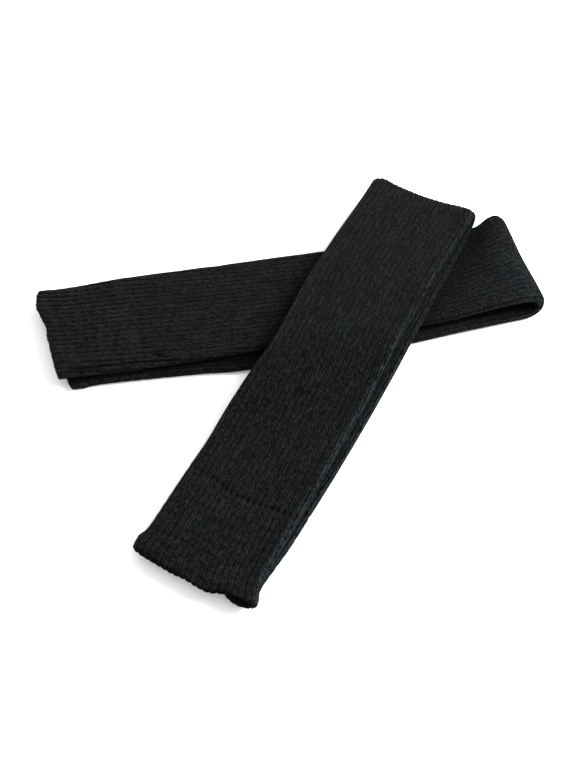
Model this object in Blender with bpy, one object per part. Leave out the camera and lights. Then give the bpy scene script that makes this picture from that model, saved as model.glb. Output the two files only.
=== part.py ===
"""A pair of long, footless dance socks in ribbed knit, laid flat.

Each sock is one tube of knit, open at both ends. It is pressed flat, folded in half end to end,
and laid so that its two cuffs lie on each other at one end and the fold is at the other. One sock
lies on the floor. The other lies across it: its cuffs rest on the floor too, its leg climbs onto
the lower sock, and its fold sags a little beyond it.

The tube is a loft through rings. A station says how far along the folded tube a ring is, and a
ring's points are given across the leg and off its middle plane. Lengths are in millimetres up to
the point where a mesh is made. Along runs from the upper cuff to the fold, across from the near
edge of the leg to its far edge, and up from the floor.
"""
import math
from collections import namedtuple

import bmesh
import bpy

MM = 0.001

# The knit: a wall over a narrow hollow, with its ribs raised on the outside.
WALL = 2.1
RIB_RISE = 0.45
HOLLOW = 0.8
RIBS = 20
HALF_LEG = HOLLOW / 2 + WALL
HALF_LEG_OVER_RIBS = HALF_LEG + RIB_RISE
LEG_THICKNESS = 2 * HALF_LEG_OVER_RIBS

# The lie: the halves of a sock keep just apart, and so do the two socks.
HALVES_APART = 0.6
SOCKS_APART = 0.7
RIBS_FADE_BELOW = 3.0

# Faceting: the points that a rounded edge, the inside of the tube and the turn take, and how far
# to either side the slope of a leg is felt for.
EDGE_STEPS = 4
INSIDE_STEPS = 9
TURN_STEPS = 8
SLOPE_REACH = 1.0

# The knit's colour: black yarn, a little lighter than pure black.
YARN_COLOUR = (0.012, 0.013, 0.014, 1.0)
YARN_ROUGHNESS = 0.9

Placing = namedtuple("Placing", "x y heading")
Edges = namedtuple("Edges", "along near far")
Mouth = namedtuple("Mouth", "across reach gape")
Fold = namedtuple("Fold", "across tip loop depth")
Station = namedtuple("Station", "half along turn")
SOCK_COLUMNS = "name placing upper lower upper_mouth lower_mouth fold turn_at"
Sock = namedtuple("Sock", SOCK_COLUMNS + " upper_rings lower_rings")

# Where the middle of each sock's upper cuff lies, and the heading of its leg in degrees.
UNDER_PLACING = Placing(-178.1, 37.6, 12.82)
OVER_PLACING = Placing(-57.4, -165.2, 64.47)

# The edges of each half, read along the leg.
UNDER_UPPER = (
    Edges(-5, -42.0, 49.4),
    Edges(20, -42.6, 48.0),
    Edges(45, -44.2, 48.8),
    Edges(66, -45.2, 49.2),
    Edges(105, -46.4, 47.3),
    Edges(165, -46.8, 45.6),
    Edges(212, -47.8, 44.2),
    Edges(290, -50.0, 42.6),
    Edges(345, -51.0, 43.2),
    Edges(374, -51.3, 48.0),
)
UNDER_LOWER = (
    Edges(8, -47.6, 41.0),
    Edges(16, -48.2, 41.2),
    Edges(25, -47.6, 41.4),
    Edges(36, -48.0, 41.5),
    Edges(63, -50.0, 40.5),
    Edges(106, -54.0, 37.0),
    Edges(133, -57.6, 33.0),
    Edges(200, -60.0, 31.5),
    Edges(265, -59.5, 32.5),
    Edges(310, -56.8, 36.0),
    Edges(345, -55.0, 40.0),
    Edges(374, -53.6, 44.5),
)
OVER_UPPER = (
    Edges(-5, -42.9, 46.6),
    Edges(0, -41.6, 47.6),
    Edges(5, -39.6, 47.2),
    Edges(11, -38.1, 45.8),
    Edges(18, -37.7, 45.2),
    Edges(28, -38.2, 45.2),
    Edges(74, -40.0, 44.8),
    Edges(125, -40.7, 43.3),
    Edges(158, -41.5, 41.2),
    Edges(188, -42.2, 39.2),
    Edges(220, -43.0, 40.8),
    Edges(255, -43.8, 43.0),
    Edges(297, -44.5, 43.4),
    Edges(345, -46.7, 42.7),
    Edges(390, -49.3, 43.0),
)
OVER_LOWER = (
    Edges(3, -38.6, 48.0),
    Edges(6, -38.2, 49.2),
    Edges(10, -37.9, 50.5),
    Edges(14, -37.8, 49.8),
    Edges(18, -37.9, 47.6),
    Edges(23, -38.4, 46.2),
    Edges(32, -39.6, 46.0),
    Edges(48, -41.7, 44.8),
    Edges(91, -44.2, 42.8),
    Edges(136, -46.0, 40.8),
    Edges(188, -47.7, 38.2),
    Edges(225, -49.8, 38.8),
    Edges(262, -51.0, 40.4),
    Edges(300, -50.8, 41.2),
    Edges(345, -50.7, 41.8),
    Edges(390, -49.9, 42.4),
)

# The rim of each cuff, read across: how far it reaches, and how far its upper wall is lifted.
UNDER_UPPER_MOUTH = (
    Mouth(-45, 5.0, 0.2),
    Mouth(-40, 2.0, 0.4),
    Mouth(-25, 0.0, 0.3),
    Mouth(-5, -2.0, 0.4),
    Mouth(12, -3.0, 0.9),
    Mouth(30, -7.5, 1.2),
    Mouth(49, -6.5, 0.3),
)
UNDER_LOWER_MOUTH = (
    Mouth(-50, 12.0, 0.0),
    Mouth(-40, 8.0, 0.0),
    Mouth(0, 6.0, 0.0),
    Mouth(45, 5.0, 0.0),
)
OVER_UPPER_MOUTH = (
    Mouth(-42, -3.0, 0.3),
    Mouth(-38, -4.8, 1.8),
    Mouth(-31, -6.1, 2.4),
    Mouth(-25, -4.8, 1.6),
    Mouth(-20, -2.6, 0.8),
    Mouth(-10, -5.0, 0.2),
    Mouth(2, -4.2, 0.2),
    Mouth(19, -2.9, 0.3),
    Mouth(35, -0.9, 0.2),
    Mouth(46, 0.2, 0.2),
)
OVER_LOWER_MOUTH = (
    Mouth(-40, 3.0, 0.0),
    Mouth(-31, -1.0, 0.0),
    Mouth(-20, 1.0, 0.0),
    Mouth(0, 0.0, 0.0),
    Mouth(30, 2.0, 0.0),
    Mouth(42, 3.2, 0.0),
    Mouth(52, 5.5, 0.0),
)
MOUTH_FADE = 45.0
GAPE_FADE = 22.0

# The fold, read across: its outermost line, the gap that it holds open, and the turn's depth.
UNDER_FOLD = (
    Fold(-54, 372.4, 9.5, 12.0),
    Fold(-46, 375.0, 9.5, 12.0),
    Fold(0, 374.6, 9.0, 11.0),
    Fold(41, 376.0, 8.5, 9.0),
    Fold(48, 374.2, 8.0, 8.5),
)
OVER_FOLD = (
    Fold(-49, 386.0, 1.8, 4.2),
    Fold(-42, 389.0, 1.8, 4.2),
    Fold(-20, 387.6, 1.8, 4.2),
    Fold(0, 388.8, 1.8, 4.2),
    Fold(24, 394.0, 1.8, 4.2),
    Fold(36, 398.0, 1.8, 4.2),
    Fold(46, 393.0, 1.8, 4.2),
)

# The lower sock springs open beside the upper sock's right edge, along this slanting line.
SPRING_START = 275.7
SPRING_SLANT = 0.791
SPRING_FROM = -50.0
SPRING_SHORTEST = 9.0

# The upper sock's tight fold opens over this much of its leg.
TIGHT_FOLD_OPENS = 40.0

# The upper sock climbs onto the lower one over one width, and sags beyond it over another.
BEDDED_FROM = -53.0
BEDDED_TO = 50.0
CLIMB = 70.0
SAG = 170.0

# Where the rings lie along each half, in their order round the leg, and where the turn begins.
UNDER_TURN_AT = 361.0
UNDER_UPPER_RINGS = (-5, 8, 30, 66, 100, 150, 212, 262, 292, 316, 334, 350)
UNDER_LOWER_RINGS = (350, 316, 265, 200, 133, 100, 63, 30, 16, 8)
OVER_TURN_AT = 383.0
OVER_UPPER_RINGS = (-5, 2, 10, 30, 66, 105, 142, 172, 202, 232, 262, 300, 340, 372)
OVER_LOWER_RINGS = (372, 340, 300, 262, 232, 202, 172, 142, 105, 66, 30, 18, 10, 3)


def smooth_step(value):
    """Ease from 0 to 1 while the value goes from 0 to 1."""
    value = min(1.0, max(0.0, value))
    return value * value * (3.0 - 2.0 * value)


def read(rows, column, at):
    """Read one column of a table at a place in its first column, on a smooth curve."""
    places = [row[0] for row in rows]
    values = [getattr(row, column) for row in rows]
    if at <= places[0]:
        return values[0]
    if at >= places[-1]:
        return values[-1]
    after = next(index for index, place in enumerate(places) if place > at)
    slopes = []
    for index in (after - 1, after):
        low = max(index - 1, 0)
        high = min(index + 1, len(rows) - 1)
        slopes.append((values[high] - values[low]) / (places[high] - places[low]))
    span = places[after] - places[after - 1]
    part = (at - places[after - 1]) / span
    start_weight = 2 * part**3 - 3 * part**2 + 1
    leave_weight = part**3 - 2 * part**2 + part
    reach_weight = part**3 - part**2
    curve = start_weight * values[after - 1] + (1 - start_weight) * values[after]
    return curve + span * (leave_weight * slopes[0] + reach_weight * slopes[1])


def to_floor(placing, along, across):
    """Turn a place on a leg into a place on the floor."""
    heading = math.radians(placing.heading)
    x = placing.x + along * math.cos(heading) - across * math.sin(heading)
    y = placing.y + along * math.sin(heading) + across * math.cos(heading)
    return x, y


def across_under(x, y):
    """Say how far a place on the floor is across the lower sock."""
    heading = math.radians(UNDER_PLACING.heading)
    return (y - UNDER_PLACING.y) * math.cos(heading) - (x - UNDER_PLACING.x) * math.sin(heading)


def lift(sock, along, across):
    """Give the height of the underside of a sock's lower half above the floor."""
    if sock.name == "sock_under":
        return 0.0
    top = 2 * LEG_THICKNESS + HALVES_APART + SOCKS_APART
    beside = across_under(*to_floor(sock.placing, along, across))
    climb = smooth_step((beside - BEDDED_FROM) / CLIMB + 1.0)
    sag = smooth_step((beside - BEDDED_TO) / SAG)
    return top * climb * (1.0 - sag)


def turn_start(sock, across):
    """Give the distance along the leg at which the turn of the fold begins."""
    tip = read(sock.fold, "tip", across)
    return tip - HALF_LEG_OVER_RIBS - read(sock.fold, "depth", across)


def gap(sock, along, across):
    """Give the height of the gap between the two halves of a leg."""
    loop = read(sock.fold, "loop", across) - HALVES_APART
    end = turn_start(sock, across)
    start = end - TIGHT_FOLD_OPENS
    if sock.name == "sock_under":
        start = SPRING_START + SPRING_SLANT * (across - SPRING_FROM)
        start = min(start, end - SPRING_SHORTEST)
    return HALVES_APART + loop * smooth_step((along - start) / (end - start))


def middle_height(sock, half, along, across):
    """Give the height of a half's middle plane."""
    height = lift(sock, along, across) + HALF_LEG_OVER_RIBS
    if half == "upper":
        height += LEG_THICKNESS + gap(sock, along, across)
    return height


def rim_of(sock, half):
    """Give the rim table of a half and the distance along the leg that it is counted from."""
    if half == "upper":
        return sock.upper_mouth, sock.upper[0].along
    return sock.lower_mouth, sock.lower[0].along


def place_in_half(sock, station, across):
    """Give a point of the middle plane and the direction that leads out of the fold there."""
    if station.half == "turn":
        start = turn_start(sock, across)
        depth = read(sock.fold, "depth", across)
        top = middle_height(sock, "upper", start, across)
        bottom = middle_height(sock, "lower", start, across)
        rise = (top - bottom) / 2
        along = start + depth * math.sin(station.turn)
        up = (top + bottom) / 2 + rise * math.cos(station.turn)
        out_along = math.sin(station.turn) / depth
        out_up = math.cos(station.turn) / rise
    else:
        rim, first = rim_of(sock, station.half)
        share = (station.along - first) / (sock.turn_at - first)
        fade = 1.0 - smooth_step((station.along - first) / MOUTH_FADE)
        along = station.along + share * (turn_start(sock, across) - sock.turn_at)
        along += fade * (read(rim, "reach", across) - first)
        up = middle_height(sock, station.half, along, across)
        slope = middle_height(sock, station.half, along + SLOPE_REACH, across)
        slope -= middle_height(sock, station.half, along - SLOPE_REACH, across)
        slope /= 2 * SLOPE_REACH
        way = 1.0 if station.half == "upper" else -1.0
        out_along = -slope * way
        out_up = way
    length = math.hypot(out_along, out_up)
    return along, up, out_along / length, out_up / length


def edges_at(sock, station):
    """Give the near and far edges of the leg at a station."""
    if station.half == "turn":
        part = station.turn / math.pi
        upper = sock.upper[-1]
        lower = sock.lower[-1]
        near = upper.near + part * (lower.near - upper.near)
        far = upper.far + part * (lower.far - upper.far)
        return near, far
    rows = getattr(sock, station.half)
    return read(rows, "near", station.along), read(rows, "far", station.along)


def lifted_rim(sock, station, across):
    """Say how far the upper wall of a cuff stands up at its mouth."""
    if station.half != "upper":
        return 0.0
    rim, first = rim_of(sock, station.half)
    return read(rim, "gape", across) * (1.0 - smooth_step((station.along - first) / GAPE_FADE))


def outer_section(near, far):
    """List the outer ring: across, off the middle plane, and whether it is on a rib."""
    flat_near = near + HALF_LEG
    flat_far = far - HALF_LEG
    points = []
    for side in (1, -1):
        for step in range(2 * RIBS + 1):
            part = step / (2 * RIBS)
            if side < 0:
                part = 1.0 - part
            across = flat_near + part * (flat_far - flat_near)
            points.append((across, side * HALF_LEG, step % 2 == 1))
        centre = flat_far if side > 0 else flat_near
        for step in range(1, EDGE_STEPS):
            angle = math.pi * step / EDGE_STEPS
            across = centre + side * HALF_LEG * math.sin(angle)
            points.append((across, side * HALF_LEG * math.cos(angle), False))
    return points


def inner_section(near, far):
    """List the inner ring: across, and off the middle plane."""
    inner_near = near + WALL
    inner_far = far - WALL
    points = []
    for side in (1, -1):
        for step in range(INSIDE_STEPS + 1):
            part = step / INSIDE_STEPS
            if side < 0:
                part = 1.0 - part
            off = 0.0 if step in (0, INSIDE_STEPS) else side * HOLLOW / 2
            if side < 0 and step in (0, INSIDE_STEPS):
                continue
            points.append((inner_near + part * (inner_far - inner_near), off))
    return points


def ring_point(sock, station, across, off):
    """Place one point of a ring on the floor plan and give its height."""
    along, up, out_along, out_up = place_in_half(sock, station, across)
    x, y = to_floor(sock.placing, along + off * out_along, across)
    return x * MM, y * MM, (up + off * out_up) * MM


def outer_ring(sock, station):
    """Give the outer ring of a station, with its ribs faded where it rests on the floor."""
    near, far = edges_at(sock, station)
    ring = []
    for across, off, on_rib in outer_section(near, far):
        rib = RIB_RISE if on_rib else 0.0
        if off == HALF_LEG:
            height = ring_point(sock, station, across, HALF_LEG_OVER_RIBS)[2] / MM
            faded = 1.0 - min(1.0, max(0.0, height / RIBS_FADE_BELOW))
            rib += faded * (RIB_RISE - rib)
        lifted = lifted_rim(sock, station, across) * max(0.0, off) / HALF_LEG
        moved = off + math.copysign(rib, off) + lifted
        ring.append(ring_point(sock, station, across, moved))
    return ring


def inner_ring(sock, station):
    """Give the inner ring of a station."""
    near, far = edges_at(sock, station)
    ring = []
    for across, off in inner_section(near, far):
        lifted = lifted_rim(sock, station, across) if off > 0 else 0.0
        ring.append(ring_point(sock, station, across, off + lifted))
    return ring


def skin(mesh, rings, facing):
    """Stretch faces between neighbouring rings and return the rings' vertices."""
    loops = [[mesh.verts.new(point) for point in ring] for ring in rings]
    for first, second in zip(loops, loops[1:]):
        count = len(first)
        for index in range(count):
            after = (index + 1) % count
            corners = [first[index], second[index], second[after], first[after]]
            if facing < 0:
                corners.reverse()
            mesh.faces.new(corners)
    return loops


def close_rim(mesh, outer, inner, facing):
    """Join an outer and an inner ring of unlike counts with triangles."""
    outer_at = 0
    inner_at = 0
    while outer_at < len(outer) or inner_at < len(inner):
        outer_next = (outer_at + 1) / len(outer)
        inner_next = (inner_at + 1) / len(inner)
        here_outer = outer[outer_at % len(outer)]
        here_inner = inner[inner_at % len(inner)]
        if outer_next <= inner_next:
            outer_at += 1
            corners = [here_outer, outer[outer_at % len(outer)], here_inner]
        else:
            inner_at += 1
            corners = [here_outer, inner[inner_at % len(inner)], here_inner]
        if facing < 0:
            corners.reverse()
        mesh.faces.new(corners)


def list_stations(sock):
    """List the rings' stations from the upper cuff, round the fold, to the lower cuff."""
    upper = [Station("upper", along, 0.0) for along in sock.upper_rings]
    angles = [math.pi * step / TURN_STEPS for step in range(TURN_STEPS + 1)]
    turn = [Station("turn", 0.0, angle) for angle in angles]
    lower = [Station("lower", along, math.pi) for along in sock.lower_rings]
    return upper + turn + lower


def knit_material(name):
    """Make the black knit."""
    material = bpy.data.materials.new(name)
    material.use_nodes = True
    shader = material.node_tree.nodes["Principled BSDF"]
    shader.inputs["Base Color"].default_value = YARN_COLOUR
    shader.inputs["Roughness"].default_value = YARN_ROUGHNESS
    shader.inputs["Metallic"].default_value = 0.0
    material.diffuse_color = YARN_COLOUR
    return material


def make_sock(sock, collection, parent):
    """Loft one sock through its rings."""
    mesh = bmesh.new()
    stations = list_stations(sock)
    outer = skin(mesh, [outer_ring(sock, station) for station in stations], 1)
    inner = skin(mesh, [inner_ring(sock, station) for station in stations], -1)
    close_rim(mesh, outer[0], inner[0], 1)
    close_rim(mesh, outer[-1], inner[-1], -1)
    bmesh.ops.triangulate(mesh, faces=mesh.faces[:])
    bmesh.ops.recalc_face_normals(mesh, faces=mesh.faces[:])
    data = bpy.data.meshes.new(sock.name)
    mesh.to_mesh(data)
    mesh.free()
    data.materials.append(knit_material(sock.name + "_knit"))
    thing = bpy.data.objects.new(sock.name, data)
    thing.parent = parent
    collection.objects.link(thing)
    return thing


def centre_on_floor(parent, things):
    """Move the pair so that the middle of its outline is above the origin."""
    for axis in (0, 1):
        places = [vertex.co[axis] for thing in things for vertex in thing.data.vertices]
        parent.location[axis] = -(min(places) + max(places)) / 2


def main():
    for thing in list(bpy.data.objects):
        bpy.data.objects.remove(thing, do_unlink=True)
    collection = bpy.data.collections.new("pair_of_dance_socks")
    bpy.context.scene.collection.children.link(collection)
    parent = bpy.data.objects.new("pair", None)
    collection.objects.link(parent)
    socks = (
        Sock("sock_under", UNDER_PLACING, UNDER_UPPER, UNDER_LOWER, UNDER_UPPER_MOUTH,
             UNDER_LOWER_MOUTH, UNDER_FOLD, UNDER_TURN_AT, UNDER_UPPER_RINGS, UNDER_LOWER_RINGS),
        Sock("sock_over", OVER_PLACING, OVER_UPPER, OVER_LOWER, OVER_UPPER_MOUTH,
             OVER_LOWER_MOUTH, OVER_FOLD, OVER_TURN_AT, OVER_UPPER_RINGS, OVER_LOWER_RINGS),
    )
    centre_on_floor(parent, [make_sock(sock, collection, parent) for sock in socks])


main()
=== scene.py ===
"""Looks of a pair of long, footless dance socks in black ribbed knit, folded and laid crosswise.

Lengths are in millimetres up to the point where a mesh takes its place. Along runs on the leg from
the upper rim to the fold, across from the near edge of the leg to its far edge, down the tube from
its upper rim round the fold to its lower rim, and around from the near edge over the outer face
and back on the inner one. Shade is painted into the knit's colour: 0 for knit as it is, up to 1
where shade is painted dark in a hollow or beside and under the other sock, and below 0 where a
highlight is painted paler.
"""
import math
from collections import namedtuple

import bmesh
import bpy
import numpy as np
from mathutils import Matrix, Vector


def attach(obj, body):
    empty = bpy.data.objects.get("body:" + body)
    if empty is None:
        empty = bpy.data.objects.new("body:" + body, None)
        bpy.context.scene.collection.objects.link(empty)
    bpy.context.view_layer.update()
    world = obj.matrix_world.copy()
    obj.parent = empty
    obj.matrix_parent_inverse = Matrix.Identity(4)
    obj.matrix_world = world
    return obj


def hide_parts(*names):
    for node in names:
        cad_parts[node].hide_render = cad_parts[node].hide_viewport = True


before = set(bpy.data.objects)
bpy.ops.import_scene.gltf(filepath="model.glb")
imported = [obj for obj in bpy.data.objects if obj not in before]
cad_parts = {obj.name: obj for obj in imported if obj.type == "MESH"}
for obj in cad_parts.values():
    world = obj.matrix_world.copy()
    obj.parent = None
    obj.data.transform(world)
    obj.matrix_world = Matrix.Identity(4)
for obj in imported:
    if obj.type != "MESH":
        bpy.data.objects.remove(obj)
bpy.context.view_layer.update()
MM = 0.001

# The lower sock's upper cuff
# The first 78 mm of the tube, in a soft matt black yarn. It is knitted in the leg's ribs with
# elastic courses that pucker it into faint cross ridges, and it ends past a row of eyelets. Its
# rim is bound off, uneven, and turns up a little.
# Deep is where the knit is darkest, partly its own tone and partly painted shade in grooves, hollows and
# eyelets; cool and warm are its random tones; the painted highlight colour is mixed in where highlights
# are painted; lint is random pale specks
YARN_DEEP = (0.0008, 0.0007, 0.0006, 1.0)
YARN_COOL = (0.0096, 0.0109, 0.0117, 1.0)
YARN_WARM = (0.0113, 0.0109, 0.0108, 1.0)
YARN_PAINTED_HIGHLIGHT = (0.0150, 0.0187, 0.0198, 1.0)
YARN_LINT = (0.024, 0.027, 0.029, 1.0)
STITCH_RISE = 0.00045


def add_node(tree, kind, **values):
    """Add a node and set what is given for it."""
    node = tree.nodes.new(kind)
    for name, value in values.items():
        setattr(node, name, value)
    return node


def calculate(tree, operation, first, second=None, clamp=False):
    """Add a Math node on sockets or plain numbers and return its output."""
    node = add_node(tree, "ShaderNodeMath", operation=operation, use_clamp=clamp)
    for index, value in enumerate((first, second)):
        if value is None:
            continue
        if isinstance(value, (int, float)):
            node.inputs[index].default_value = value
        else:
            tree.links.new(value, node.inputs[index])
    return node.outputs[0]


def mix_colours(tree, factor, first, second):
    """Add a colour Mix node and return its output."""
    node = add_node(tree, "ShaderNodeMix", data_type="RGBA")
    tree.links.new(factor, node.inputs["Factor"])
    for name, value in (("A", first), ("B", second)):
        socket = [one for one in node.inputs if one.name == name and one.type == "RGBA"][0]
        if isinstance(value, tuple):
            socket.default_value = value
        else:
            tree.links.new(value, socket)
    return [one for one in node.outputs if one.type == "RGBA"][0]


def knit_group():
    """Build the knit's stitches, fuzz, lint and painted shade and highlights as one node group."""
    tree = bpy.data.node_groups.new("knit stitches", "ShaderNodeTree")
    face = tree.interface
    face.new_socket("Wales and courses", in_out="INPUT", socket_type="NodeSocketVector")
    face.new_socket("Shade", in_out="INPUT", socket_type="NodeSocketFloat")
    face.new_socket("Wale grooves", in_out="INPUT", socket_type="NodeSocketFloat")
    face.new_socket("Rib grooves", in_out="INPUT", socket_type="NodeSocketFloat")
    face.new_socket("Strand contrast", in_out="INPUT", socket_type="NodeSocketFloat")
    for name in ("Deep colour", "Cool colour", "Warm colour", "Painted highlight colour", "Lint colour"):
        face.new_socket(name, in_out="INPUT", socket_type="NodeSocketColor")
    face.new_socket("Colour", in_out="OUTPUT", socket_type="NodeSocketColor")
    face.new_socket("Roughness", in_out="OUTPUT", socket_type="NodeSocketFloat")
    face.new_socket("Height", in_out="OUTPUT", socket_type="NodeSocketFloat")
    given = add_node(tree, "NodeGroupInput")
    result = add_node(tree, "NodeGroupOutput")

    # Wales wander by a noise and by the pull of each course
    pull = add_node(tree, "ShaderNodeTexNoise")
    pull.inputs["Scale"].default_value = 0.9
    pull.inputs["Detail"].default_value = 2.0
    tree.links.new(given.outputs["Wales and courses"], pull.inputs["Vector"])
    place = add_node(tree, "ShaderNodeSeparateXYZ")
    tree.links.new(given.outputs["Wales and courses"], place.inputs[0])
    course_turn = calculate(tree, "MULTIPLY", place.outputs["Y"], 2 * math.pi)
    serration = calculate(tree, "MULTIPLY", calculate(tree, "SINE", course_turn), 0.09)
    wander = calculate(tree, "MULTIPLY", calculate(tree, "SUBTRACT", pull.outputs["Fac"], 0.5), 0.7)
    wale_place = calculate(tree, "ADD", place.outputs["X"], calculate(tree, "ADD", wander, serration))

    # Two slanting strands make the V of a stitch
    across_wale = calculate(tree, "FRACT", wale_place)
    from_middle = calculate(tree, "SUBTRACT", across_wale, 0.5)
    aside = calculate(tree, "MULTIPLY", calculate(tree, "ABSOLUTE", from_middle), 2.0)
    slant = calculate(tree, "MULTIPLY", aside, 0.45)
    stitch_place = calculate(tree, "SUBTRACT", place.outputs["Y"], slant)
    along_stitch = calculate(tree, "FRACT", stitch_place)
    strand_end = calculate(tree, "SINE", calculate(tree, "MULTIPLY", along_stitch, math.pi))
    off_strand = calculate(tree, "SUBTRACT", calculate(tree, "MULTIPLY", aside, 2.0), 1.0)
    strand_side = calculate(tree, "SUBTRACT", 1.0, calculate(tree, "POWER", off_strand, 2.0))
    round_end = calculate(tree, "POWER", strand_end, 0.7)
    stitch = calculate(tree, "MULTIPLY", round_end, calculate(tree, "POWER", strand_side, 0.6))

    # Each strand takes the dye and the light a little differently
    strand = add_node(tree, "ShaderNodeCombineXYZ")
    tree.links.new(calculate(tree, "FLOOR", calculate(tree, "MULTIPLY", wale_place, 2.0)),
                   strand.inputs["X"])
    tree.links.new(calculate(tree, "FLOOR", stitch_place), strand.inputs["Y"])
    chance = add_node(tree, "ShaderNodeTexWhiteNoise", noise_dimensions="2D")
    tree.links.new(strand.outputs[0], chance.inputs["Vector"])

    # The groove between two ribs is broken into dashes, and the one between two wales is shallow.
    # Both grooves are painted darker, as shade in a recess.
    dash = add_node(tree, "ShaderNodeTexNoise")
    dash.inputs["Scale"].default_value = 0.55
    dash.inputs["Detail"].default_value = 3.0
    stretch = add_node(tree, "ShaderNodeMapping")
    stretch.inputs["Scale"].default_value = (1.6, 0.75, 1.0)
    tree.links.new(given.outputs["Wales and courses"], stretch.inputs["Vector"])
    tree.links.new(stretch.outputs[0], dash.inputs["Vector"])
    broken = calculate(tree, "MULTIPLY", calculate(tree, "SUBTRACT", dash.outputs["Fac"], 0.36), 3.2,
                       clamp=True)
    half_turn = calculate(tree, "MULTIPLY", wale_place, math.pi)
    wale = calculate(tree, "ABSOLUTE", calculate(tree, "SINE", half_turn))
    rib = calculate(tree, "ABSOLUTE", calculate(tree, "SINE", calculate(tree, "MULTIPLY", half_turn, 0.5)))
    rib = calculate(tree, "MULTIPLY", calculate(tree, "SUBTRACT", rib, 0.10), 1.7, clamp=True)
    rib_dark = calculate(tree, "MULTIPLY", calculate(tree, "SUBTRACT", 1.0, rib), broken)
    rib_dark = calculate(tree, "MULTIPLY", rib_dark, given.outputs["Rib grooves"], clamp=True)
    wale_dark = calculate(tree, "SUBTRACT", 1.0, wale)
    wale_dark = calculate(tree, "MULTIPLY", wale_dark, given.outputs["Wale grooves"])
    wale_dark = calculate(tree, "MULTIPLY", wale_dark, calculate(tree, "SUBTRACT", 1.25, broken))
    open_of_grooves = calculate(tree, "MULTIPLY", calculate(tree, "SUBTRACT", 1.0, rib_dark),
                                calculate(tree, "SUBTRACT", 1.0, wale_dark, clamp=True))

    where = add_node(tree, "ShaderNodeTexCoord")
    fuzz = add_node(tree, "ShaderNodeTexNoise")
    fuzz.inputs["Scale"].default_value = 1500.0
    fuzz.inputs["Detail"].default_value = 3.0
    tree.links.new(where.outputs["Object"], fuzz.inputs["Vector"])
    mottle = add_node(tree, "ShaderNodeTexNoise")
    mottle.inputs["Scale"].default_value = 90.0
    mottle.inputs["Detail"].default_value = 3.0
    tree.links.new(where.outputs["Object"], mottle.inputs["Vector"])
    specks = add_node(tree, "ShaderNodeTexNoise")
    specks.inputs["Scale"].default_value = 900.0
    specks.inputs["Detail"].default_value = 1.0
    tree.links.new(where.outputs["Object"], specks.inputs["Vector"])

    # How near each place comes to the face colour: strands are paler than the gaps between them, partly
    # their own tone and partly painted shade; then random tones of strand and dye, painted shade in the
    # grooves, and the painted shade and highlights of the Shade input
    lit = calculate(tree, "ADD", calculate(tree, "MULTIPLY", stitch, 0.85),
                    calculate(tree, "MULTIPLY", fuzz.outputs["Fac"], 0.55))
    by_strand = calculate(tree, "SUBTRACT", chance.outputs["Value"], 0.5)
    by_strand = calculate(tree, "MULTIPLY", by_strand, given.outputs["Strand contrast"])
    by_strand = calculate(tree, "ADD", by_strand, 1.05)
    lit = calculate(tree, "MULTIPLY", lit, by_strand)
    uneven_dye = calculate(tree, "ADD", calculate(tree, "MULTIPLY", mottle.outputs["Fac"], 1.0), 0.5)
    lit = calculate(tree, "MULTIPLY", lit, uneven_dye)
    lit = calculate(tree, "MULTIPLY", lit, open_of_grooves)
    open_knit = calculate(tree, "SUBTRACT", 1.0, given.outputs["Shade"])
    lit = calculate(tree, "MULTIPLY", lit, open_knit)
    lit = calculate(tree, "POWER", lit, 2.0, clamp=True)
    tint = add_node(tree, "ShaderNodeTexNoise")
    tint.inputs["Scale"].default_value = 34.0
    tint.inputs["Detail"].default_value = 2.0
    tree.links.new(where.outputs["Object"], tint.inputs["Vector"])
    warmth = calculate(tree, "MULTIPLY", calculate(tree, "SUBTRACT", tint.outputs["Fac"], 0.36), 3.2)
    # Where a highlight is painted, the random warm tone gives way to the cool colour and then to the
    # painted highlight colour
    away_from_highlight = calculate(tree, "ADD", calculate(tree, "MULTIPLY", given.outputs["Shade"], 4.0), 1.0,
                          clamp=True)
    warmth = calculate(tree, "MULTIPLY", warmth, away_from_highlight, clamp=True)
    face_colour = mix_colours(tree, warmth, given.outputs["Cool colour"], given.outputs["Warm colour"])
    painted_highlight = calculate(tree, "MULTIPLY", given.outputs["Shade"], -2.5, clamp=True)
    face_colour = mix_colours(tree, painted_highlight, face_colour, given.outputs["Painted highlight colour"])
    yarn = mix_colours(tree, lit, given.outputs["Deep colour"], face_colour)
    lint = calculate(tree, "MULTIPLY", calculate(tree, "SUBTRACT", specks.outputs["Fac"], 0.64), 7.0,
                     clamp=True)
    lint = calculate(tree, "MULTIPLY", lint, open_knit, clamp=True)
    colour = mix_colours(tree, lint, yarn, given.outputs["Lint colour"])
    tree.links.new(colour, result.inputs["Colour"])
    rough = calculate(tree, "ADD", calculate(tree, "MULTIPLY", fuzz.outputs["Fac"], 0.2), 0.74)
    tree.links.new(rough, result.inputs["Roughness"])
    height = calculate(tree, "ADD", stitch, calculate(tree, "MULTIPLY", fuzz.outputs["Fac"], 0.35))
    height = calculate(tree, "ADD", height, calculate(tree, "MULTIPLY", open_of_grooves, 0.6))
    tree.links.new(height, result.inputs["Height"])
    return tree


knit_stitches = knit_group()


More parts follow.
